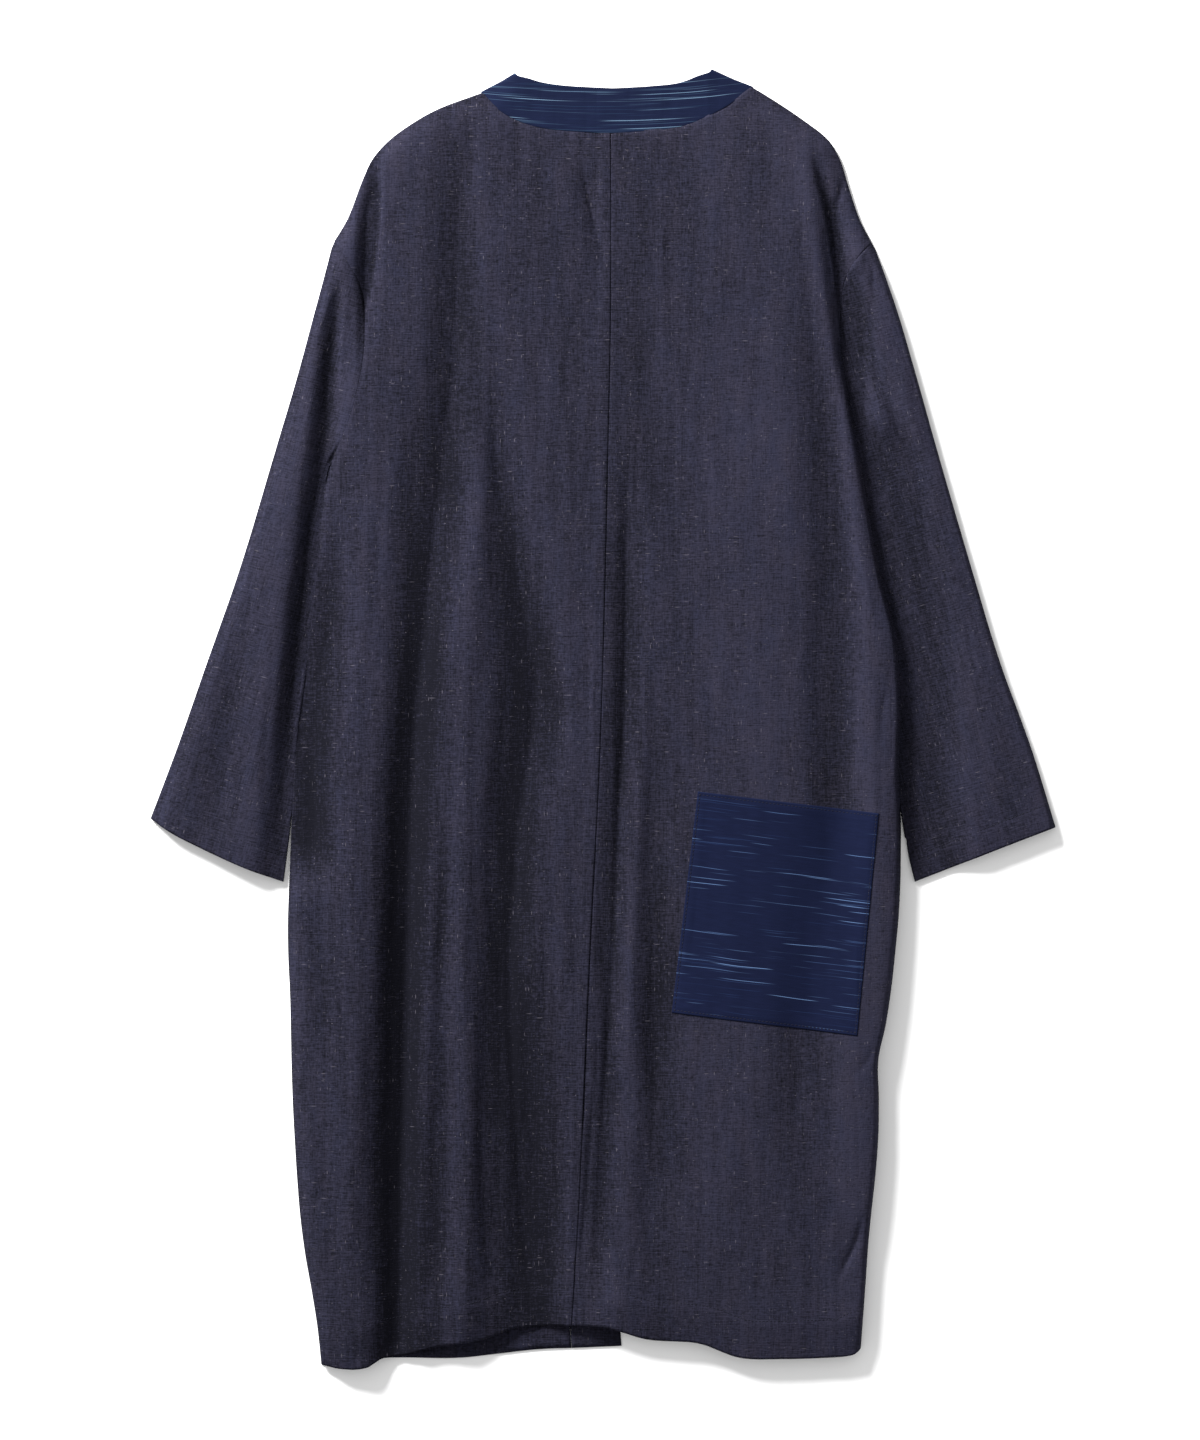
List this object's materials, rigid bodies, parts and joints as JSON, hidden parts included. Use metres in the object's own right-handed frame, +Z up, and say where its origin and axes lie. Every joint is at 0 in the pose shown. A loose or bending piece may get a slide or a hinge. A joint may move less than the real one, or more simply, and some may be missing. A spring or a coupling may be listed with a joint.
{
  "type": "long haori coat",
  "caption": "Long collarless haori coat in slubby indigo linen denim, laid flat with its back up, with an ikat neck band at the back and an ikat patch pocket low on the right.",
  "frame": {"origin": "middle of the floor rectangle that the laid coat covers, at the floor", "axes": "+X towards the wearer's right, +Y towards the neck, +Z up from the floor to the back of the coat"},
  "size_m": [0.8316, 1.1952, 0.0238],
  "materials": {
    "denim": "dark indigo linen denim, dry, matt and slubby, with fine pale flecks",
    "kasuri_band": "indigo kasuri cotton with fine pale blue streaks, matt",
    "kasuri_patch": "deep indigo kasuri cotton with scattered pale blue streaks, matt"
  },
  "bodies": {
    "root": {"back_left": "denim", "back_right": "denim", "front_left": "denim", "front_right": "denim", "front_band_left": "denim", "front_band_right": "denim", "sleeve_left": "denim", "sleeve_right": "denim", "collar": "kasuri_band", "pocket_patch": "kasuri_patch"}
  },
  "joints": []
}
